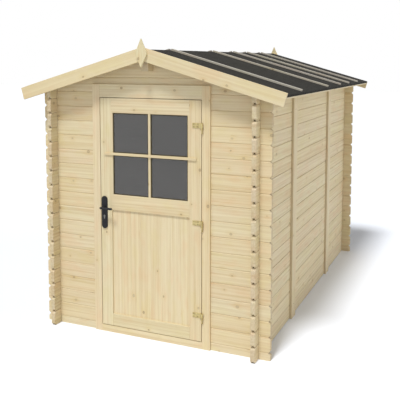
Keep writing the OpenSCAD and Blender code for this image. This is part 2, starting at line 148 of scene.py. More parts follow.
class Graph:
    """A node tree with short ways to add maths and any other node."""

    def __init__(self, tree):
        self.tree = tree
        self.x = 0

    def put(self, kind, *values, **named):
        """Add a node: names in lower case are settings, the others its sockets."""
        node = self.tree.nodes.new(kind)
        self.x += NODE_STEP
        node.location = (self.x, 0)
        for name in [name for name in named if name.islower()]:
            setattr(node, name, named.pop(name))
        for name, value in (dict(enumerate(values)) | named).items():
            socket = pick_socket(node.inputs, name)
            if isinstance(value, Wire):
                self.tree.links.new(value.socket, socket)
            else:
                is_color = socket.type == "RGBA" and len(value) == 3
                socket.default_value = (*value, 1.0) if is_color else value
        return Made(self, node)

    def math(self, operation, *values):
        return self.put("ShaderNodeMath", *values, operation=operation)["Value"]

    def join(self, x, y, z):
        return self.put("ShaderNodeCombineXYZ", x, y, z)["Vector"]

    def split(self, wire):
        made = self.put("ShaderNodeSeparateXYZ", wire)
        return made["X"], made["Y"], made["Z"]

    def blend(self, factor, first, second, kind="MIX"):
        """Mix two colours."""
        return self.put("ShaderNodeMix", Factor=factor, A=first, B=second, data_type="RGBA",
                        blend_type=kind, clamp_factor=True)["Result"]

    def step(self, low, high, value):
        """0 below low, 1 above high and smooth between."""
        return self.put("ShaderNodeMapRange", Value=value, From_Min=low, From_Max=high,
                        interpolation_type="SMOOTHSTEP")["Result"]

    def noise(self, where, scale, detail=2.0, rough=0.5):
        return self.put("ShaderNodeTexNoise", Vector=where, Scale=scale, Detail=detail,
                        Roughness=rough)["Fac"]

    def bump(self, strength, height):
        """A normal from a height in metres."""
        return self.put("ShaderNodeBump", Strength=strength, Distance=1.0,
                        Height=height)["Normal"]


class Made:
    """A node just added: made["Color"] is one of its outputs."""

    def __init__(self, graph, node):
        self.graph, self.node = graph, node

    def __getitem__(self, name):
        return Wire(self.graph, pick_socket(self.node.outputs, name))


def pick_socket(sockets, name):
    """The enabled socket of that name, or at that place; _ stands for a space."""
    if isinstance(name, int):
        return sockets[name]
    return next(s for s in sockets if s.enabled and s.name.replace(" ", "_") == name)


print("helpers for node trees are ready")

# %% [markdown]
# ## Spruce
# A trunk grows in rings round its pith, so the colour comes from each point's
# distance to a pith line beside the board: faces then show long streaks and
# sawn ends show arcs. Knots are cells of a Voronoi pattern, and the rings bend
# round them. Every board carries its own grain place in an attribute, so that
# no two look alike and the pattern rides with the door.

# %% The wood shader
def blank_graph(owner):
    """The emptied node tree of a material or of the world."""
    owner.use_nodes = True
    owner.node_tree.nodes.clear()
    return Graph(owner.node_tree)


def new_material(name):
    material = bpy.data.materials.new(name)
    return material, blank_graph(material)


def finish_material(graph, **inputs):
    """The shader proper: every input is a constant or a wire."""
    shader = graph.put("ShaderNodeBsdfPrincipled", **inputs)["BSDF"]
    graph.put("ShaderNodeOutputMaterial", Surface=shader)


CELL_L, CELL_W = 0.26, 0.105  # one knot cell, along the board and across it
KNOT_R, KNOT_SPREAD = 0.0045, 0.0075  # the smallest knot's radius, and how much more
RING = 0.0034  # width of a growth ring


def wood(name, pale, dark, knots=0.42, contrast=1.0, sawn=0.0, tints=1.0):
    """Softwood: pale early wood, darker late wood, knots and sawn ends."""
    material, g = new_material(name)
    at, pick, end = [g.put("ShaderNodeAttribute", attribute_name=label)[output] for label, output
                     in (("grain", "Vector"), ("pick", "Fac"), ("end", "Fac"))]
    x, y, z = g.split(at)

    # knots: the nearest cell's middle, and how far it is in metres; a cell
    # without a knot has radius 0, so both divisions get a small extra
    cell = g.put("ShaderNodeTexVoronoi", Vector=g.join(x / CELL_L, z / CELL_W, 0.0), Scale=1.0,
                 voronoi_dimensions="2D")
    mid_x, mid_z, _ = g.split(cell["Position"])
    chance, spread, tint = g.split(cell["Color"])
    off_x = (x - mid_x * CELL_L) * 0.8
    off_z = z - mid_z * CELL_W
    wobble = g.noise(at, 160.0, 1.0) * 0.0016
    away = g.math("SQRT", off_x * off_x + off_z * off_z) + wobble
    radius = (spread * KNOT_SPREAD + KNOT_R) * g.math("GREATER_THAN", knots, chance)
    inward = away / (radius + 0.0001)
    core = 1.0 - g.step(0.85, 1.15, inward)
    halo = g.math("EXPONENT", away * away / (radius * radius * -9.0 - 0.00001))

    def streaks(along, across, detail=2.0, rough=0.5):
        """Noise drawn out along the board."""
        return g.noise(g.join(x * along, y * across, z * across), 1.0, detail, rough)

    # growth rings round a pith line that wanders a little
    drift = g.noise(g.join(x * 0.9, pick * 37.0, 0.0), 1.0, 1.0)
    swirl = streaks(1.6, 9.0)
    pith_y = drift * 0.05 + pick * 0.03 + 0.02
    bent_z = z - off_z * halo * 0.9 + drift * 0.02
    reach = g.math("SQRT", (y + pith_y) ** 2.0 + bent_z * bent_z) + swirl * 0.012
    phase = g.math("FRACT", reach / RING)
    late = g.step(0.35, 0.95, phase) * g.step(1.0, 0.93, phase)
    band = g.noise(g.join(x * 0.5, reach * 55.0, pick * 11.0), 1.0, 2.0)
    streak = streaks(1.1, 70.0, 3.0, 0.6)
    cloud = streaks(4.5, 14.0)
    fibre = streaks(26.0, 900.0)

    # colour: rings, broad bands, then the board's own tint, then the knots
    shade = late * 0.24 + g.step(0.35, 0.75, band) * 0.34 + g.step(0.36, 0.68, streak) * 0.42
    body = g.blend(shade * (0.75 * contrast), pale, dark)
    own = g.put("ShaderNodeTexWhiteNoise", W=pick * 97.0, noise_dimensions="1D")
    rosy, honey, grey = g.split(own["Color"])
    for much, stain in ((rosy * (0.42 * tints), (1.0, 0.86, 0.78)),
                        (honey * (0.32 * tints), (0.99, 0.97, 0.76)),
                        (grey * (0.25 * tints), (0.88, 0.87, 0.85)),
                        (g.step(0.5, 0.72, cloud) * 0.55, (1.0, 0.89, 0.83)),
                        (g.step(0.48, 0.3, cloud) * 0.5, (0.97, 0.97, 0.83)),
                        (halo * 0.45 * (1.0 - core), (0.92, 0.82, 0.64))):
        body = g.blend(much, body, stain, "MULTIPLY")
    rings = g.math("SINE", away * 2600.0) * 0.16 + 0.45
    heart = g.blend(rings + tint * 0.3, (0.28, 0.19, 0.095), (0.45, 0.33, 0.185))
    crack = g.step(0.60, 0.66, g.noise(at, 420.0, 0.0))
    heart = g.blend(g.step(0.62, 0.95, inward) * 0.55 + crack * 0.4, heart, (0.15, 0.09, 0.045))
    body = g.blend(core * (tint * 0.45 + 0.33), body, heart)
    # the end tint darkens sawn end grain; on wall joints and on the battens' narrow edges it is
    # painted shade
    body = g.blend(end * 0.62, body, (0.80, 0.78, 0.83), "MULTIPLY")

    # surface: late wood stands up a little, and saw teeth mark the ends
    saw = g.noise(g.join(x * 240.0, y * 60.0, z * 900.0), 1.0, 1.0)
    height = late * 0.00006 + fibre * 0.00009 - core * 0.0002 + saw * (end * 0.0005 + sawn * 0.0004)
    rough = fibre * 0.12 + 0.56 - late * 0.05 + end * 0.15
    finish_material(g, Base_Color=body, Roughness=rough, Normal=g.bump(0.6, height),
                    Specular_IOR_Level=0.35)
    return material


spruces = {  # pale, dark, knots, contrast, sawn, tints
    "wall_wood": ((0.755, 0.679, 0.483), (0.570, 0.450, 0.250), 0.5, 1.12),
    "side_wood": ((0.772, 0.694, 0.494), (0.555, 0.436, 0.242), 0.3, 1.15),
    "batten_wood": ((0.743, 0.680, 0.484), (0.602, 0.482, 0.278), 0.3),
    "roof_wood": ((0.735, 0.661, 0.469), (0.584, 0.463, 0.258)),
    "lath_wood": ((0.494, 0.479, 0.437), (0.370, 0.337, 0.281), 0.3, 1.0, 1.0),
    "barge_wood": ((0.761, 0.699, 0.494), (0.619, 0.501, 0.288), 0.35),
    "frame_wood": ((0.762, 0.686, 0.488), (0.600, 0.476, 0.275), 0.45, 1.1),
    "floor_wood": ((0.708, 0.633, 0.443), (0.549, 0.435, 0.247)),
    "joist_wood": ((0.487, 0.472, 0.330), (0.354, 0.321, 0.196), 0.42, 1.0, 1.0),
    "door_wood": ((0.760, 0.686, 0.488), (0.590, 0.474, 0.280), 0.5, 1.2),
    "panel_wood": ((0.772, 0.678, 0.463), (0.600, 0.466, 0.263), 0.2, 1.1, 0.0, 0.35),
}
looks = {name: wood(name, *tone) for name, tone in spruces.items()}
print(f"{len(looks)} kinds of spruce")

# %% [markdown]
# ## Felt, metal and glass
# Mineral felt is dull and full of grit, the hinges are yellow zinc and the
# door plates powder-coated black. A pane before a dark room looks an even grey
# and turns clear when the door opens: tinted glass with a strong shine.

# %% The other finishes
def felt_look():
    material, g = new_material("felt")
    at = g.put("ShaderNodeTexCoord")["Object"]
    grit = g.noise(at, 900.0, 2.0, 0.7)
    patch = g.noise(at, 3.0, 3.0)
    shade = grit * 0.55 + patch * 0.45
    color = g.blend(g.step(0.3, 0.7, shade), (0.012, 0.0108, 0.009), (0.025, 0.0235, 0.019))
    fleck = g.step(0.66, 0.72, g.noise(at, 1500.0, 0.0))
    color = g.blend(fleck * 0.5, color, (0.085, 0.08, 0.07))
    finish_material(g, Base_Color=color, Roughness=grit * 0.15 + 0.78, Specular_IOR_Level=0.08,
                    Normal=g.bump(0.8, grit * 0.0009 + patch * 0.002))
    return material


def metal_look(name, light, dark, metal, rough, grain, gloss=0.5):
    """Plated or painted metal with faint handling marks."""
    material, g = new_material(name)
    at = g.put("ShaderNodeTexCoord")["Object"]
    cloud = g.noise(at, 60.0, 3.0)
    fine = g.noise(at, grain, 2.0, 0.6)
    color = g.blend(g.step(0.3, 0.7, cloud), dark, light)
    finish_material(g, Base_Color=color, Roughness=fine * 0.2 + cloud * 0.1 + rough,
                    Metallic=metal, Normal=g.bump(0.5, fine * 0.00012), Specular_IOR_Level=gloss)
    return material


def glass_look():
    material, g = new_material("glass")
    wave = g.noise(g.put("ShaderNodeTexCoord")["Object"], 4.0, 1.0)
    color = g.blend(wave, (0.22, 0.21, 0.19), (0.245, 0.235, 0.215))
    finish_material(g, Base_Color=color, Roughness=0.06, Normal=g.bump(0.3, wave * 0.0008),
                    IOR=1.80, Transmission_Weight=0.90, Specular_Tint=(1.0, 0.97, 0.92))
    return material


metals = {  # light, dark, metal, rough, grain, gloss
    "zinc_metal": ((0.62, 0.52, 0.25), (0.44, 0.34, 0.15), 0.75, 0.30, 700.0),
    "black_metal": ((0.022, 0.022, 0.024), (0.014, 0.014, 0.016), 0.0, 0.42, 1400.0, 0.22),
    "lock_brass": ((0.27, 0.26, 0.24), (0.20, 0.19, 0.17), 0.9, 0.25, 700.0),
    "seal_rubber": ((0.080, 0.064, 0.036), (0.055, 0.044, 0.024), 0.0, 0.6, 900.0, 0.15),
    "screw_metal": ((0.30, 0.23, 0.11), (0.20, 0.15, 0.07), 0.7, 0.35, 900.0),
}
looks.update({name: metal_look(name, *finish) for name, finish in metals.items()})
looks.update(felt=felt_look(), glass=glass_look())
print("finishes:", ", ".join(looks))

# %% [markdown]
# ## One board: a section sawn to an outline
# A mill gives the board its section (chamfers, tongue and groove) and a saw
# its outline (chamfered ends and corner notches). So here: two prisms at right
# angles, their common volume, and a bevel that takes the sharpness off.

# %% Prisms and sawn boards
X, Y, Z = Vector((1, 0, 0)), Vector((0, 1, 0)), Vector((0, 0, 1))
SHARP = math.radians(25)  # edges above this angle are eased
SPARE = 0.01  # a cutter passes its work by this much


def link_up(name, data):
    """Data as an object of the scene."""
    made = bpy.data.objects.new(name, data)
    bpy.context.scene.collection.objects.link(made)
    return made


def new_object(name, bm):
    """A bmesh as an object at the origin."""
    mesh = bpy.data.meshes.new(name)
    bm.to_mesh(mesh)
    bm.free()
    return link_up(name, mesh)


def extruded(points, low, high, axis=1):
    """An outline in two axes pushed from low to high along the third, 0, 1 or 2."""
    bm = bmesh.new()
    base = bm.faces.new([bm.verts.new((*p[:axis], low, *p[axis:])) for p in points])
    top = bmesh.ops.extrude_face_region(bm, geom=[base])["geom"]
    bmesh.ops.translate(bm, verts=[v for v in top if isinstance(v, bmesh.types.BMVert)],
                        vec=(X, Y, Z)[axis] * (high - low))
    bmesh.ops.recalc_face_normals(bm, faces=bm.faces)
    return bm


def prism(name, *shape):
    return new_object(name, extruded(*shape))


def drop(*objects):
    for obj in objects:
        bpy.data.objects.remove(obj)


def baked(name, obj, *tools):
    """The object with its modifiers worked out; it and its tools are used up."""
    bpy.context.view_layer.update()
    graph = bpy.context.evaluated_depsgraph_get()
    mesh = bpy.data.meshes.new_from_object(obj.evaluated_get(graph))
    drop(obj, *tools)
    return link_up(name, mesh)


def saw(piece, operation, tool):
    cut = piece.modifiers.new("saw", "BOOLEAN")
    cut.operation, cut.solver, cut.object = operation, "EXACT", tool


def sawn_board(name, section, outline, soften=0.0008):
    """The common volume of a section (y, z) and an outline (x, z)."""
    (xs, _), (ys, _) = zip(*outline), zip(*section)
    board = prism(name, section, min(xs) - SPARE, max(xs) + SPARE, 0)
    cutter = prism(name + "_outline", outline, min(ys) - SPARE, max(ys) + SPARE)
    saw(board, "INTERSECT", cutter)
    soft = board.modifiers.new("plane", "BEVEL")
    soft.width, soft.segments, soft.limit_method = soften, 1, "ANGLE"
    soft.angle_limit = SHARP
    board.modifiers.new("flat", "TRIANGULATE").quad_method = "BEAUTY"
    return baked(name, board, cutter)


def distinct(points):
    """Leave out points that repeat the one before."""
    return [p for k, p in enumerate(points) if math.dist(p, points[k - 1]) > 1e-6]


def rectangle(left, right, low, high):
    return [(left, low), (right, low), (right, high), (left, high)]


def mirrored(right):
    """The right half of an outline followed by its mirror image."""
    return distinct(right + [(-a, b) for a, b in reversed(right)])


def wall_section(low, high, groove=True, tongue=True, vee_low=True, lean=0.0):
    """Cross-section of a wall board; a top without chamfers may lean down to one face."""
    half, slot, foot = board_t / 2, SLOT_W / 2, VEE if vee_low else 0.0
    right = [(slot, low + SLOT_H), (slot, low)] if groove else []
    right += [(half - foot, low), (half, low + foot)]
    right += [(half, high)] if lean else [(half, high - VEE), (half - VEE, high)]
    if tongue:
        right += [(slot - TONGUE_PLAY, high), (slot - TONGUE_TAPER, high + SLOT_H - TONGUE_LOW)]
    return [(y, z - lean if (y, z) == (-half, high) else z) for y, z in mirrored(right)]


def board_outline(left, right, high, crossings, cuts=(END_CUT, END_CUT),
                  bite_low=BOARD_H / 4, bite_high=BOARD_H / 4, foot=True, rise=SLOT_H):
    """Outline of a wall board: end chamfers, corner notches and where the tongue runs."""
    half = board_t / 2 + SAW_GAP
    feet = cuts if foot else (0.0, 0.0)
    ends = [TONGUE_END if cut else 0.0 for cut in cuts]
    bottom = [(left, feet[0]), (left + feet[0], 0)]
    for c in crossings:
        bottom += [(c - half, 0), (c - half, bite_low), (c + half, bite_low), (c + half, 0)]
    bottom += [(right - feet[1], 0), (right, feet[1])]
    top = [(right, high - cuts[1]), (right - cuts[1], high), (right - ends[1], high),
           (right - ends[1], high + rise)]
    for c in reversed(crossings):
        top += [(c + half, high + rise), (c + half, high - bite_high),
                (c - half, high - bite_high), (c - half, high + rise)]
    top += [(left + ends[0], high + rise), (left + ends[0], high), (left + cuts[0], high),
            (left, high - cuts[0])]
    return distinct(bottom + top)


print("saw and plane are ready")

# %% [markdown]
# ## Stacking the boards
# A wall is one board again and again, which is what Geometry Nodes do best.
# The tree sets a board on each of a row of points, shifts its grain by a
# random number and realizes the copies, so the wall ends as one plain mesh.

# %% The board stack tree
PICK_X, PICK_Z = 53.0, 7.0  # the grain's largest shift along a board and across it


def open_tree(name, **inputs):
    """An empty geometry tree with named inputs, as a graph and what it is given."""
    tree = bpy.data.node_groups.new(name, "GeometryNodeTree")
    for label, kind in inputs.items():
        tree.interface.new_socket(label, in_out="INPUT", socket_type="NodeSocket" + kind)
    tree.interface.new_socket("Made", in_out="OUTPUT", socket_type="NodeSocketGeometry")
    g = Graph(tree)
    return g, g.put("NodeGroupInput")


def close_tree(g, given, geometry):
    """Give the geometry its finish and hand it out."""
    done = g.put("GeometryNodeSetMaterial", Geometry=geometry, Material=given["finish"])
    g.put("NodeGroupOutput", Made=done["Geometry"])
    return g.tree


def keep(g, geometry, name, kind, domain, value):
    """Keep a value on the geometry under a name."""
    return g.put("GeometryNodeStoreNamedAttribute", Geometry=geometry, Name=name, Value=value,
                 data_type=kind, domain=domain)["Geometry"]


def kept(g, name, kind):
    """Read it again."""
    return g.put("GeometryNodeInputNamedAttribute", Name=name, data_type=kind)["Attribute"]


def random_value(g, most, **inputs):
    return g.put("FunctionNodeRandomValue", Min=0.0, Max=most, data_type="FLOAT",
                 **inputs)["Value"]


def realized(g, geometry):
    return g.put("GeometryNodeRealizeInstances", Geometry=geometry)["Geometry"]


def stack_tree():
    g, given = open_tree("board_stack", board="Object", count="Int", step="Vector",
                         turn="Rotation", place="Vector", seed="Int", joint_shade="Float",
                         finish="Material")
    board = g.put("GeometryNodeObjectInfo", Object=given["board"])["Geometry"]
    here = g.put("GeometryNodeInputPosition")["Position"]
    facing, _, rising = g.split(g.put("GeometryNodeInputNormal")["Normal"])
    tilt = g.math("ABSOLUTE", rising)
    chamfer = g.math("GREATER_THAN", tilt, 0.5) * g.math("LESS_THAN", tilt, 0.9)
    sawn = g.math("GREATER_THAN", g.math("ABSOLUTE", facing), 0.5)
    # painted shade: the V chamfers between boards join the sawn mask by joint_shade, so the end
    # tint darkens the joints as if shade lay in them
    sawn = g.math("MAXIMUM", sawn, chamfer * given["joint_shade"])
    board = keep(g, board, "grain", "FLOAT_VECTOR", "POINT", here)
    board = keep(g, board, "end", "FLOAT", "FACE", sawn)

    line = g.put("GeometryNodeMeshLine", Count=given["count"], Offset=given["step"],
                 mode="OFFSET")["Mesh"]
    row = g.put("GeometryNodeInstanceOnPoints", Points=line, Instance=board)["Instances"]
    order = g.put("GeometryNodeInputIndex")["Index"]
    chance = random_value(g, 1.0, ID=order, Seed=given["seed"])
    wall = realized(g, keep(g, row, "pick", "FLOAT", "INSTANCE", chance))

    pick = kept(g, "pick", "FLOAT")
    grain = g.put("ShaderNodeVectorMath", kept(g, "grain", "FLOAT_VECTOR"),
                  g.join(pick * PICK_X, 0.0, pick * PICK_Z), operation="ADD")["Vector"]
    wall = keep(g, wall, "grain", "FLOAT_VECTOR", "POINT", grain)
    wall = g.put("GeometryNodeTransform", Geometry=wall, Translation=given["place"],
                 Rotation=given["turn"])["Geometry"]
    return close_tree(g, given, wall)


def run_tree(name, tree, given=None, **values):
    """Run a tree on a mesh, or on nothing, and keep the result as a plain mesh."""
    host = new_object(name + "_host", given or bmesh.new())
    modifier = host.modifiers.new("tree", "NODES")
    modifier.node_group = tree
    for socket in tree.interface.items_tree:
        if socket.in_out == "INPUT" and socket.name in values:
            modifier[socket.identifier] = values[socket.name]
    return baked(name, host)


stack = stack_tree()
print(f"board stack tree: {len(stack.nodes)} nodes")

# %% [markdown]
# ## The four walls
# Side walls start with a whole board and gable walls with half of one, so the
# corner notches lock. The top side board is bevelled to the roof, and the gable
# boards are sawn to the slope, the ridge purlin and the door frame.

# %% Lay boards and gather them into pieces
QUARTER = math.radians(90)
slots = {part["node"]: part["material_slot"] for part in frame["record"]["subparts"]}


def lay(name, board, finish, count=1, step=(0, 0, 0), turn=(0, 0, 0), place=(0, 0, 0),
        seed=1, joint_shade=0.0):
    made = run_tree(name, stack, board=board, count=count, step=step, turn=turn, place=place,
                    seed=seed, joint_shade=joint_shade, finish=looks[finish])
    drop(board)
    return made


def gather(name, parts, body, node=None, slot=None):
    """Join parts into one piece that rides on a body and may stand for a CAD node."""
    bpy.ops.object.select_all(action="DESELECT")
    for part in parts:
        part.select_set(True)
    piece = bpy.context.view_layer.objects.active = parts[0]
    if len(parts) > 1:
        bpy.ops.object.join()
    piece.name = piece.data.name = name
    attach(piece, body)
    slot or slots[node]
    if node:
        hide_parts(node)
    triangles = sum(len(p.vertices) - 2 for p in piece.data.polygons)
    print(f"{name}: {triangles} triangles")


# %% Side walls
rows = int(side_box[1].z / BOARD_H)
top_z = (rows - 1) * BOARD_H
cap_h = side_box[1].z - top_z
lean = board_t * TAN
reach = side_box[1].y
for seed, (name, sign) in enumerate((("right", 1), ("left", -1))):
    turn = (0, 0, sign * QUARTER)
    full = sawn_board("side_board", wall_section(0, BOARD_H),
                      board_outline(-reach, reach, BOARD_H, (-wall_y, wall_y)))
    cap = sawn_board("side_cap", wall_section(0, cap_h, tongue=False, lean=lean),
                     board_outline(-reach, reach, cap_h, (-wall_y, wall_y), rise=0.0,
                                   bite_high=cap_h - BOARD_H * 0.75))
    walls = [lay("rows", full, "side_wood", rows - 1, BOARD_H * Z, turn, sign * wall_x * X,
                 seed=11 + seed, joint_shade=1.1),
             lay("cap", cap, "side_wood", turn=turn, place=(sign * wall_x, 0, top_z),
                 seed=21 + seed)]
    gather(name + "_wall_boards", walls, "shed", name + "_side_wall")
print(f"side walls: {rows} boards each")

# %% Front panels beside the door
HALF_BOARD = BOARD_H / 2


def gable_rows(left, right, crossings, cuts, y, seed):
    """The half board on the ground and the whole boards above it."""
    full = sawn_board("board", wall_section(0, BOARD_H),
                      board_outline(left, right, BOARD_H, crossings, cuts))
    low = sawn_board("half_board", wall_section(0, HALF_BOARD, groove=False, vee_low=False),
                     board_outline(left, right, HALF_BOARD, crossings, cuts, bite_low=0.0,
                                   foot=False))
    return [lay("rows", full, "wall_wood", rows - 1, BOARD_H * Z, place=(0, y, HALF_BOARD),
                seed=seed, joint_shade=0.15),
            lay("low", low, "wall_wood", place=(0, y, 0), seed=seed + 1)]


end_x, panel_x = -front_box[0].x, -front_box[1].x
for side, left, right, crossing, cuts, seed in (
        ("left", -end_x, -panel_x, -wall_x, (END_CUT, 0.0), 31),
        ("right", panel_x, end_x, wall_x, (0.0, END_CUT), 41)):
    gather("front_boards_" + side, gable_rows(left, right, (crossing,), cuts, -wall_y, seed),
           "shed", "front_wall_" + side)

# %% Gable boards
HEAD_LIP = 0.028  # the door head covers the gable board by this much
gable_z = gable_box[0].z
bite_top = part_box("door_head")[1].z - HEAD_LIP
slot_x = purlin[1].x + SAW_GAP


def roof_line(z):
    """Half width of the gable at a height."""
    return (ridge_z - z) / TAN


def gable_board(low, high, bite, y, seed):
    """A gable board between two heights; bite is the half width cut for the door frame."""
    half, foot = roof_line(high), min(roof_line(low), end_x)
    right = [(bite, bite_top), (bite, low)] if bite else []
    if low == gable_z:
        near, far = wall_x - board_t / 2 - SAW_GAP, wall_x + board_t / 2 + SAW_GAP
        right += [(near, low), (near, low + BOARD_H / 4), (far, low + BOARD_H / 4), (far, low),
                  (foot - END_CUT, low), (foot, low + END_CUT),
                  (foot, ridge_z - end_x * TAN), (half, high)]
    else:
        right += [(foot, low), (half, high)]
    if purlin[0].z < high:
        right += [(slot_x, high), (slot_x, purlin[0].z)]
    board = sawn_board("gable_board", wall_section(low, high, groove=low == gable_z, tongue=False),
                       mirrored(right))
    return lay("gable", board, "wall_wood", place=(0, y, 0), seed=seed)


def peak(sign, low, y, seed):
    """The three-cornered board between the purlin and the slope."""
    outline = [(sign * slot_x, low), (sign * roof_line(low), low),
               (sign * slot_x, ridge_z - slot_x * TAN)]
    board = sawn_board("peak", wall_section(low, ridge_z, groove=False, tongue=False), outline)
    return lay("peak", board, "wall_wood", place=(0, y, 0), seed=seed)


def gable(y, bite, seed):
    second, third = gable_z + BOARD_H, gable_z + 2 * BOARD_H
    return [gable_board(gable_z, second, bite, y, seed), gable_board(second, third, 0, y, seed + 1),
            peak(1, third, y, seed + 2), peak(-1, third, y, seed + 3)]


gather("front_gable_boards", gable(-wall_y, panel_x, 51), "shed", "front_gable")
rear = gable_rows(-end_x, end_x, (-wall_x, wall_x), (END_CUT, END_CUT), wall_y, 61)
gather("rear_boards", rear + gable(wall_y, 0, 66), "shed", "rear_wall")

# %% [markdown]
# ## Roof, floor and door panel: the same stack, other boards
# The roof boards run down the slope, the floor boards lie on the joists and
# narrow upright boards close the door's lower half. Each is a plain planed
# board, laid in a row between two faces of a CAD box.

# %% Roof boards
ROOF_BOARDS = 38
DECK_T = 0.018  # roof board's thickness
SEAT = 0.0002  # play between the layers of the roof
LAP = 0.03  # the planks pass the ridge by this much before the mitre
HAIR = 0.00001  # half the gap between two planks


def plank(length, width, thick, vee, low_face=True, high_face=True):
    """A straight board from x = 0 to its length, with small chamfers."""
    a, b = (vee if low_face else 0.0), (vee if high_face else 0.0)
    half, top = thick / 2, width - HAIR
    section = [(-half, HAIR + a), (-half + a, HAIR), (half - b, HAIR), (half, HAIR + b),
               (half, top - b), (half - b, top), (-half + a, top), (-half, top - a)]
    return sawn_board("plank", distinct(section), rectangle(0, length, -SPARE, width + SPARE),
                      0.0005)


def on_slope(u, w):
    """Point of the right slope: u down it and w square to it."""
    return Vector((u * COS + w * SIN, 0,
                   ridge_z - u * SIN + w * COS))


def slice_off(bm, at, facing):
    """Cut away what lies beyond a plane and close the cut."""
    everything = bm.verts[:] + bm.edges[:] + bm.faces[:]
    cut = bmesh.ops.bisect_plane(bm, geom=everything, plane_co=at, plane_no=facing,
                                 clear_outer=True, dist=1e-6)
    rim = [e for e in cut["geom_cut"] if isinstance(e, bmesh.types.BMEdge)]
    bmesh.ops.holes_fill(bm, edges=rim, sides=0)


def axes_turn(along, through, across):
    """Turn that lays a board's x, y and z along three given directions."""
    return Matrix((along, through, across)).transposed().to_euler()


deck_y = deck_box[1].y
deck_w = 2 * deck_y / ROOF_BOARDS
slope_len = deck_box[1].x / COS - TAN * DECK_T
slope_r, square_r = on_slope(1, 0) - on_slope(0, 0), on_slope(0, 1) - on_slope(0, 0)
for sign, name, seed in ((1, "right", 71), (-1, "left", 72)):
    face = Matrix.Diagonal((sign, sign, 1))
    down, square = face @ slope_r, face @ square_r
    board = plank(slope_len + LAP, deck_w, DECK_T - SEAT, 0.0025, high_face=False)
    start = face @ (on_slope(-LAP, (DECK_T + SEAT) / 2) + deck_y * Y)
    slab = lay("deck", board, "roof_wood", ROOF_BOARDS, deck_w * Z,
               axes_turn(down, square, down.cross(square)), start, seed=seed)
    bm = bmesh.new()
    bm.from_mesh(slab.data)
    slice_off(bm, (sign * SEAT / 2, 0, 0), (-sign, 0, 0))
    bm.to_mesh(slab.data)
    bm.free()
    gather(name + "_roof_planks", [slab], "shed", name + "_roof_boards")

# %% Floor boards and door panel
FLOOR_BOARDS, PANEL_BOARDS = 20, 8

low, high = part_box("floor_boards")
floor_w = (high.x - low.x) / FLOOR_BOARDS
board = plank(high.y - low.y, floor_w, high.z - low.z, 0.0012, low_face=False)
planks = lay("floor", board, "floor_wood", FLOOR_BOARDS, floor_w * Z, axes_turn(Y, Z, X),
             (low.x, low.y, (low.z + high.z) / 2), seed=81)
gather("floor_planks", [planks], "shed", "floor_boards")

low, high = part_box("door_panel")
panel_w = (high.x - low.x) / PANEL_BOARDS
board = plank(high.z - low.z, panel_w, high.y - low.y, 0.0009)
planks = lay("panel", board, "panel_wood", PANEL_BOARDS, panel_w * Z, axes_turn(Z, -Y, X),
             (low.x, (low.y + high.y) / 2, low.z), seed=82)
gather("door_panel_boards", [planks], "door", "door_panel")

# %% [markdown]
# ## Single timbers
# Battens, bargeboards, door frame, stiles and rails are right as the CAD has
# them, but knife sharp and without grain. Each gets a copy of its CAD mesh,
# merged, with eased edges and its own grain place along its length.

# %% Ease a timber's edges and lay its grain
def shuffle(seed):
    """A fixed number from 0 to 1 for a whole number."""
    return (math.sin(seed * 12.9898) * 43758.5453) % 1.0


def islands(bm):
    """Number the separate solids of a mesh from 0."""
    mark, count = {}, -1
    for start in bm.verts:
        todo = [start]
        count += start not in mark
        while todo:
            v = todo.pop()
            if v not in mark:
                mark[v] = count
                todo += [edge.other_vert(v) for edge in v.link_edges]
    return mark


def ease(bm, soften, segments=2):
    """Round the sharp edges of a mesh."""
    sharp = [e for e in bm.edges if e.is_manifold and e.calc_face_angle() > SHARP]
    if soften:
        bmesh.ops.bevel(bm, geom=sharp, offset=soften, segments=segments, profile=0.6,
                        affect="EDGES", clamp_overlap=True)


def eased_copy(node, soften, segments=2, trim=None):
    """A merged copy of a CAD mesh with its sharp edges rounded; trim is a plane to cut at."""
    bm = bmesh.new()
    bm.from_mesh(nodes[node].data)
    bmesh.ops.remove_doubles(bm, verts=bm.verts, dist=1e-5)
    bmesh.ops.dissolve_limit(bm, angle_limit=math.radians(0.5), verts=bm.verts, edges=bm.edges)
    if trim:
        slice_off(bm, *trim)
        bmesh.ops.recalc_face_normals(bm, faces=bm.faces)
    ease(bm, soften, segments)
    return bm


def lay_grain(bm, along, across, seed, painted_edge_shade=0.0):
    """Write the grain, pick and end attributes; across is the broad face's width. The faces square
    to across get the end tint at the given strength as painted shade.
    """
    through = across.cross(along)
    grain = bm.verts.layers.float_vector.new("grain")
    pick = bm.verts.layers.float.new("pick")
    end = bm.faces.layers.float.new("end")
    mark = islands(bm)
    for v in bm.verts:
        chance = shuffle(seed + mark[v] * 7)
        v[pick] = chance
        v[grain] = (v.co.dot(along) + chance * PICK_X, v.co.dot(through),
                    v.co.dot(across) + chance * PICK_Z)
    for f in bm.faces:
        f[end] = 1.0 if abs(f.normal.dot(along)) > 0.75 else 0.0
        # painted shade: the narrow faces square to across take the darker end tint
        if painted_edge_shade and abs(f.normal.dot(across)) > 0.75:
            f[end] = painted_edge_shade


def dressed(name, bm, finish):
    """A bmesh as an object with one finish."""
    made = new_object(name, bm)
    made.data.materials.append(looks[finish])
    return made


def timber(node, along, across, seed, body="shed", soften=0.0015, painted_edge_shade=0.0, trim=None):
    """One CAD timber, or a node of several, with eased edges and grain."""
    bm = eased_copy(node, soften, trim=trim)
    lay_grain(bm, along.normalized(), across.normalized(), seed, painted_edge_shade)
    gather(node + "_timber", [dressed(node, bm, slots[node])], body, node)


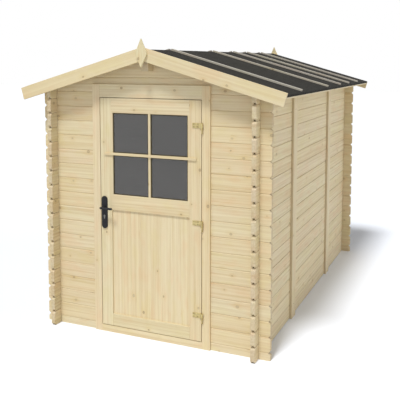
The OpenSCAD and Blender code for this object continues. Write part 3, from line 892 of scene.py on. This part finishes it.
slope_l, square_l = [Vector((-way.x, 0, way.z)) for way in (slope_r, square_r)]
UNDER_FELT = 0.0015  # the rear boards stop this far under the roof boards' top
for k, (side, slope, square) in enumerate((("right", slope_r, square_r),
                                           ("left", slope_l, square_l))):
    # the battens' narrow edges get painted shade at full strength
    timber(side + "_wall_battens", Z, Y, 101 + k, painted_edge_shade=1.0)
    timber(side + "_eave_strip", Y, square, 103 + k)
    timber(side + "_roof_battens", slope, Y, 105 + k, soften=0.001)
    timber(side + "_jamb", Z, X, 107 + k)
    timber(f"front_{side}_bargeboard", slope, square, 109 + k)
    # the felt is turned out over the rear boards, which stop just under it
    stop = ridge_z * Z + square * (DECK_T - UNDER_FELT)
    timber(f"rear_{side}_bargeboard", slope, square, 111 + k, trim=(stop, square))
for node, *how in (("front_finial", Z, X, 121), ("rear_finial", Z, X, 122),
                   # seed 160 gives the door head a paler tint of its own: painted light that lifts
                   # the shade the roof casts on it
                   ("ridge_purlin", Y, Z, 123), ("door_head", X, Z, 160),
                   ("threshold", X, Z, 125), ("floor_joists", X, Z, 126)):
    timber(node, *how)
for node, *how in (("lock_stile", Z, X, 131), ("hinge_stile", Z, X, 132), ("top_rail", X, Z, 134),
                   ("middle_rail", X, Z, 135), ("bottom_rail", X, Z, 136)):
    timber(node, *how, "door", 0.0012)

# %% [markdown]
# ## The window
# Four planed beads hold the pane from either side and two bars cross in front
# of it. Each bead is one profile pushed along a side of the opening and cut to
# 45 degrees at both ends, so the corners show a real mitre joint.

# %% Mitred beads
ARRIS = 0.0035  # radius of a bead's rounded corner


def skin(bm, rings, ends=True):
    """Faces between rings of corners and over both ends; gives back the ends."""
    for before, after in zip(rings, rings[1:]):
        for k in range(len(before)):
            loop = (before[k - 1], before[k], after[k], after[k - 1])
            bm.faces.new(list(dict.fromkeys(loop)))
    caps = [bm.faces.new(ring) for ring in (rings[0], rings[-1][::-1])] if ends else []
    bmesh.ops.recalc_face_normals(bm, faces=bm.faces)
    return caps


def mitred_ring(low, high, profile, seed):
    """Four mitred strips round a rectangle; the profile is (inset, y) points."""
    corners = [[(x, y, z) for x, z in rectangle(low.x + inset, high.x - inset, low.z + inset,
                                                high.z - inset)] for inset, y in profile]
    strips = []
    for side in range(4):
        bm = bmesh.new()
        skin(bm, [[bm.verts.new(c[k % 4]) for c in corners] for k in (side, side + 1)])
        lay_grain(bm, *((X, Z) if side % 2 == 0 else (Z, X)), seed + side)
        strips.append(dressed("bead", bm, "door_wood"))
    return strips


def arc(x, z, radius, start, stop, steps):
    """Points of an arc between two angles in degrees, with both ends."""
    turns = [math.radians(start + (stop - start) * k / steps) for k in range(steps + 1)]
    return [(x + radius * math.cos(a), z + radius * math.sin(a)) for a in turns]


bead_box, pane_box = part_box("window_beads"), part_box("door_glass")
bead_w = bead_box[1].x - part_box("window_seals")[1].x
front_y, back_y = bead_box[0].y, bead_box[1].y
front_bead = [(0.0, pane_box[0].y), (0.0, front_y),
              *arc(bead_w - ARRIS, front_y + ARRIS, ARRIS, -90, 0, 3), (bead_w, pane_box[0].y)]
back_bead = [(0.0, pane_box[1].y), (bead_w, pane_box[1].y),
             *arc(bead_w - ARRIS, back_y - ARRIS, ARRIS, 0, 90, 3), (0.0, back_y)]
beads = mitred_ring(*bead_box, front_bead, 141) + mitred_ring(*bead_box, back_bead, 145)
gather("window_bead_strips", beads, "door", "window_beads")


# %% Glazing bars
def milled(soften, along, across, seed, *shape):
    """An outline pushed along an axis, its edges eased and its grain laid."""
    bm = extruded(*shape)
    ease(bm, soften, 3)
    lay_grain(bm, along, across, seed)
    return dressed("bar", bm, "door_wood")


low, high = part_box("glazing_bars")
bar_z = (low.z + high.z) / 2
level = [v.co.z for v in nodes["glazing_bars"].data.vertices if abs(v.co.x) > bead_box[1].x + 0.01]
bar_half = (max(level) - min(level)) / 2
pane_x = bead_box[1].x - bead_w
end_mid = high.x - bar_half
round_ended = [*arc(end_mid, bar_z, bar_half, -90, 90, 9),
               *arc(-end_mid, bar_z, bar_half, 90, 270, 9)]
bars = [milled(0.002, Z, X, 151, rectangle(-bar_half, bar_half, low.z, high.z), front_y, high.y),
        milled(0.0022, X, Z, 152, round_ended, low.y, front_y),
        milled(0.0, X, Z, 153, rectangle(-pane_x, pane_x, bar_z - bar_half, bar_z + bar_half),
               front_y, high.y)]
gather("crossed_bars", bars, "door", "glazing_bars")

# %% [markdown]
# ## Felt sheets
# The roofer lays the felt down the slope and folds its lower end over the eave
# strip: one rounded profile swept along the shed. Where no batten presses it
# down the sheet ripples by a millimetre, and its hand-cut edge wanders.

# %% Sweep the felt
FOLD = 0.007  # radius of the fold over the eave
RIDGE_GAP = 0.00004  # each sheet stops this far from the ridge line
RIPPLE = 0.0014  # most that a loose sheet rises
RAGGED = 0.0015  # how far the cut edge wanders
SLOPE_STEPS, FOLD_STEPS, SHEET_STEPS = 36, 5, 84

felt_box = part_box("right_roof_felt")
felt_top = (felt_box[1].z - ridge_z) * COS
felt_low = DECK_T + SEAT
lip_u = (felt_box[1].x - felt_top * SIN) / COS
lip_in = lip_u - (felt_top - felt_low)
lip_low = (felt_box[0].z - ridge_z + lip_u * SIN) / COS
fold_u = lip_u - FOLD
batten_ys = sorted({round(v.co.y, 3) for v in nodes["right_roof_battens"].data.vertices})
lath_mids = [(a + b) / 2 for a, b in zip(batten_ys[::2], batten_ys[1::2])]


def ramp(distance, full):
    """0 at no distance, 1 from the full distance on."""
    return min(1.0, max(0.0, distance) / full)


def ripple(u, y, seed):
    """Rise of the loose sheet above the boards."""
    free = ramp(min(abs(y - m) for m in lath_mids), 0.15) * ramp(deck_y - abs(y), 0.08)
    wave = noise.noise(Vector((u * 3.0, y * 5.0, seed))) + 0.5
    return RIPPLE * free * ramp(u, 0.1) * ramp(fold_u - u, 0.1) * max(0.0, wave)


def felt_ring(y, seed):
    """The sheet's outline at one place along the shed."""
    start = RIDGE_GAP - felt_top * TAN
    us = [start + (fold_u - start) * k / SLOPE_STEPS for k in range(SLOPE_STEPS + 1)]
    cut = lip_low + RAGGED * (noise.noise(Vector((y * 9.0, seed, 0))) + 0.6)
    ring = [(u, felt_top + ripple(u, y, seed)) for u in us]
    ring += arc(fold_u, felt_top - FOLD, FOLD, 90, 0, FOLD_STEPS)[1:]
    ring += [(lip_u, cut), (lip_in, cut), (lip_in, felt_low),
             (RIDGE_GAP - felt_low * TAN, felt_low)]
    return [on_slope(*point) + y * Y for point in ring]


def smooth(piece):
    """Shade a piece smooth but keep its sharp edges."""
    piece.data.polygons.foreach_set("use_smooth", [True] * len(piece.data.polygons))
    piece.data.set_sharp_from_angle(angle=math.radians(35))


for side, flip, seed in (("right", 1, 5), ("left", -1, 6)):
    bm = bmesh.new()
    ys = [deck_y * (2 * k / SHEET_STEPS - 1) for k in range(SHEET_STEPS + 1)]
    rings = [[bm.verts.new(p * Vector((flip, 1, 1))) for p in felt_ring(y, seed)] for y in ys]
    bmesh.ops.triangulate(bm, faces=skin(bm, rings))
    sheet = dressed("sheet", bm, "felt")
    smooth(sheet)
    gather(side + "_roof_felt_sheet", [sheet], "shed", side + "_roof_felt")

# %% [markdown]
# ## Hinges, handle and lock
# Straps are stamped and rolled, plates are cast and coated, so their edges are
# never sharp: the CAD shapes get rolled edges and smooth shading. The lock is
# a profile swept round its axis, with a drop-shaped nose and a keyway.

# %% Metal fittings with rolled edges and smooth shading
for node, soften, segments, body in (("hinge_straps", 0.0008, 2, "door"),
                                     ("hinge_pintles", 0.0, 1, "shed"),
                                     ("handle_plates", 0.0022, 4, "door"),
                                     ("lever_handle", 0.0, 1, "lever")):
    piece = dressed(node, eased_copy(node, soften, segments), slots[node])
    smooth(piece)
    gather(node + "_fitting", [piece], body, node)


# %% Turned parts and the lock
KEY_HALF = (0.0011, 0.0045)  # half width and half height of the keyway
KEY_DEPTH = 0.006
ROLLED = 0.0008  # chamfer at the barrel's ends
NOSE_R = 0.0048  # radius of the nose's round lower end
NOSE_LOW, NOSE_TOP = 0.0195, 0.007  # that end's middle and the nose's top, below the barrel's


def turned(name, profile, sides):
    """A profile of (radius, height) points swept round Z, closed at both poles."""
    bm = bmesh.new()
    rings = [[bm.verts.new((*at, z)) for at in arc(0, 0, r, 0, 360, sides)[1:]] if r
             else [bm.verts.new((0, 0, z))] * sides for r, z in profile]
    skin(bm, rings, ends=False)
    return new_object(name, bm)


def cut_away(piece, tool):
    """Take one object's volume out of another's."""
    saw(piece, "DIFFERENCE", tool)
    return baked(piece.name, piece, tool)


low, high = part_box("lock_cylinder")
key_r, key_mid = (high.x - low.x) / 2, (low + high) / 2
length = high.y - low.y
barrel = turned("barrel", [(0, 0), (key_r - ROLLED, 0), (key_r, ROLLED), (key_r, length - ROLLED),
                           (key_r - ROLLED, length), (0, length)], 40)
barrel.data.transform(Matrix.Translation((key_mid.x, low.y, key_mid.z))
                      @ Matrix.Rotation(-QUARTER, 4, "X"))
key_slot = rectangle(key_mid.x - KEY_HALF[0], key_mid.x + KEY_HALF[0],
                     key_mid.z - KEY_HALF[1], key_mid.z + KEY_HALF[1])
nose = arc(key_mid.x, key_mid.z - NOSE_LOW, NOSE_R, 0, -180, 10)
nose += [(key_mid.x + side * NOSE_R, key_mid.z - NOSE_TOP) for side in (-1, 1)]
plate_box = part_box("handle_plates")
noses = []
for face_y, plate_y in ((low.y, plate_box[0].y), (high.y, plate_box[1].y)):
    barrel = cut_away(barrel, prism("slot", key_slot, face_y - KEY_DEPTH, face_y + KEY_DEPTH))
    noses.append(prism("nose", nose, *sorted((face_y, plate_y))))
for part in (barrel, *noses):
    smooth(part)
    part.data.materials.clear()
    part.data.materials.append(looks["lock_brass"])
gather("lock_barrel", [barrel, *noses], "door", "lock_cylinder")

# %% [markdown]
# ## Screws and nails
# A fastener is one head set many times. The second tree reads a point for each
# place and the way its surface faces, stands a head on it, turned by a random
# angle as a driver leaves it, and realizes the lot.

# %% The fastener tree
FULL_TURN = 6.283


def fastener_tree():
    g, given = open_tree("fasteners", places="Geometry", head="Object", seed="Int",
                         finish="Material")
    head = g.put("GeometryNodeObjectInfo", Object=given["head"])["Geometry"]
    stand = g.put("FunctionNodeAlignRotationToVector",
                  Vector=kept(g, "facing", "FLOAT_VECTOR"), axis="Z")["Rotation"]
    angle = random_value(g, FULL_TURN, Seed=given["seed"])
    spin = g.put("FunctionNodeAxisAngleToRotation", Axis=Z, Angle=angle)["Rotation"]
    turn = g.put("FunctionNodeRotateRotation", Rotation=stand, Rotate_By=spin,
                 rotation_space="LOCAL")["Rotation"]
    heads = g.put("GeometryNodeInstanceOnPoints",
                  Points=given["places"], Instance=head, Rotation=turn)["Instances"]
    return close_tree(g, given, realized(g, heads))


def fasteners(name, head, places, body, slot, finish, seed):
    """Set a head, which is used up, on each place: a point and the way it faces."""
    bm = bmesh.new()
    facing = bm.verts.layers.float_vector.new("facing")
    for at, way in places:
        bm.verts.new(at)[facing] = way.normalized()
    piece = run_tree(name, set_heads, bm, head=head, seed=seed, finish=looks[finish])
    drop(head)
    print(f"{name}: {len(places)} heads")
    gather(name, [piece], body, slot=slot)


set_heads = fastener_tree()
print(f"fastener tree: {len(set_heads.nodes)} nodes")


# %% Heads
def screw_head(radius):
    """A countersunk head with a cross recess."""
    head = turned("screw_head", [(0, -0.0012), (radius * 0.7, -0.0012), (radius, -0.0001),
                                 (radius, 0.0003), (radius * 0.8, 0.0006), (0, 0.0006)], 14)
    a, b = radius * 0.14, radius * 0.62
    cross = mirrored([(a, -b), (a, -a), (b, -a), (b, a), (a, a), (a, b)])
    return cut_away(head, prism("cross", cross, -0.0006, 0.0024, 2))


def nail_head(radius):
    """A flat round head, slightly crowned."""
    return turned("nail_head", [(0, -0.001), (radius * 0.9, -0.001), (radius, 0.0001),
                                (radius * 0.85, 0.0006), (0, 0.0009)], 12)


print("screws have a cross recess, nails a crown")


# %% Set the fasteners
STRAP_IN = 0.004  # the straps' face lies this far out from the rail
SCREW_XS, SCREW_ZS = (0.012, 0.045), (0.010, -0.010)  # on a strap
PLATE_END = 0.022  # from a plate's end to its screw
BATTEN_ZS = (0.12, 0.14 + BOARD_H * 14)  # heights of a wall batten's screws
LATH_US = (0.06, 0.33, 0.60, 0.87, 1.10)  # a roof batten's nails, down the slope
NAILS, NAIL_START, NAIL_STEP, NAIL_UP = 25, 0.06, 0.133, 0.014  # along an eave's felt


def middles(node, axis, apart):
    """Middles of the separate pieces of a node along an axis."""
    marks = sorted(v.co[axis] for v in nodes[node].data.vertices)
    runs = [[marks[0], marks[0]]]
    for mark in marks:
        if mark - runs[-1][1] > apart:
            runs.append([mark, mark])
        runs[-1][1] = mark
    return [sum(run) / 2 for run in runs]


strap_x, strap_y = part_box("hinge_straps")[0].x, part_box("top_rail")[0].y - STRAP_IN
strap_mids = middles("hinge_straps", 2, 0.1)
print("straps at", [round(z, 3) for z in strap_mids])
places = [(Vector((strap_x + dx, strap_y, z + dz)), -Y)
          for z, dx, dz in product(strap_mids, SCREW_XS, SCREW_ZS)]
fasteners("hinge_screws", screw_head(0.0044), places, "door", "zinc_metal", "screw_metal", 3)

plate_mid = (plate_box[0].z + plate_box[1].z) / 2
half = (plate_box[1].z - plate_box[0].z) / 2 - PLATE_END
places = [(Vector((key_mid.x, y, plate_mid + side * half)), way)
          for side in (1, -1) for y, way in ((plate_box[0].y, -Y), (plate_box[1].y, Y))]
fasteners("plate_screws", screw_head(0.004), places, "door", "black_metal", "black_metal", 4)

batten_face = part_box("right_wall_battens")[1].x
places = [(Vector((side * batten_face, y, z)), X * side) for side, y, z
          in product((1, -1), middles("right_wall_battens", 1, 0.2), BATTEN_ZS)]
fasteners("batten_screws", screw_head(0.0042), places, "shed", "zinc_metal", "screw_metal", 5)

lath_w = max((v.co - on_slope(0, 0)).dot(square_r)
             for v in nodes["right_roof_battens"].data.vertices)
places = []
for (side, up), y, u in product(((1, square_r), (-1, square_l)), lath_mids, LATH_US):
    at = on_slope(u, lath_w)
    places.append((Vector((side * at.x, y, at.z)), up))
fasteners("lath_nails", nail_head(0.003), places, "shed", "zinc_metal", "screw_metal", 6)

edge = on_slope(lip_u, lip_low + NAIL_UP)
places = [(Vector((side * edge.x, -deck_y + NAIL_START + NAIL_STEP * k, edge.z)), out)
          for (side, out), k in product(((1, slope_r), (-1, slope_l)), range(NAILS))]
fasteners("felt_nails", nail_head(0.005), places, "shed", "black_metal", "black_metal", 7)

# %% Pane and seals keep their CAD shape
for name in ("door_glass", "window_seals"):
    data = nodes[name].data
    data.materials.clear()
    data.materials.append(looks[slots[name]])
print("pane and seals have their finish")

# %% [markdown]
# ## Studio
# A high sun stands in front of the door wall, with a soft fill on the long
# wall, another on the front and an even pale sky. The camera, mirrors and glass
# see the sky white, but it lights the shed with far less.

# %% Camera
YAW, DOWN = math.radians(23.632), math.radians(5.209)
lens = bpy.data.cameras.new("camera")
lens.sensor_width, lens.lens, lens.shift_y = 36.0, 58.74, -0.2
camera = link_up("camera", lens)
camera.location = (2.3936, -6.0497, 2.2325)
camera.rotation_euler = (QUARTER - DOWN, 0, YAW)
bpy.context.scene.camera = camera
print("camera at", camera.location[:])

# %% Lamps
for name, travel, strength, spread, tone in (
        ("key", (0.065, 1.0, -2.0), 2.62, 12, (1, 1, 1)),
        ("side_fill", (-1.0, -0.30, -0.20), 0.84, 50, (0.97, 0.98, 1.0)),
        ("front_fill", (-0.1, 1.0, -0.20), 0.50, 60, (1, 1, 1))):
    sun = bpy.data.lights.new(name, "SUN")
    sun.energy, sun.angle, sun.color = strength, math.radians(spread), tone
    link_up(name, sun).rotation_euler = Vector(travel).to_track_quat("-Z", "Y").to_euler()
    print(f"{name}: {strength} W/m2")


# %% Floor and sky
SKY = 0.305  # light of the sky; the camera sees 1
SEEN_FLOOR, LIT_FLOOR = (0.898, 0.93, 0.995), (0.74, 0.74, 0.74)


def camera_only(g, seen, lit):
    """One shader for eyes, mirrors and glass and another for everything else."""
    path = g.put("ShaderNodeLightPath")
    mask = g.math("MAXIMUM", path["Is_Camera_Ray"],
                  g.math("MAXIMUM", path["Is_Glossy_Ray"], path["Is_Transmission_Ray"]))
    return g.put("ShaderNodeMixShader", mask, lit, seen)["Shader"]


world = bpy.context.scene.world = bpy.data.worlds.new("studio")
g = blank_graph(world)
skies = [g.put("ShaderNodeBackground", Color=(1, 1, 1), Strength=light)["Background"]
         for light in (1.0, SKY)]
g.put("ShaderNodeOutputWorld", Surface=camera_only(g, *skies))

looks["floor"], g = new_material("pale_floor")
floors = [g.put("ShaderNodeBsdfDiffuse", Color=tone)["BSDF"]
          for tone in (SEEN_FLOOR, LIT_FLOOR)]
g.put("ShaderNodeOutputMaterial", Surface=camera_only(g, *floors))
bm = bmesh.new()
bmesh.ops.create_grid(bm, x_segments=1, y_segments=1, size=40.0)
dressed("ground", bm, "floor")
bpy.context.scene.view_settings.view_transform = "Standard"
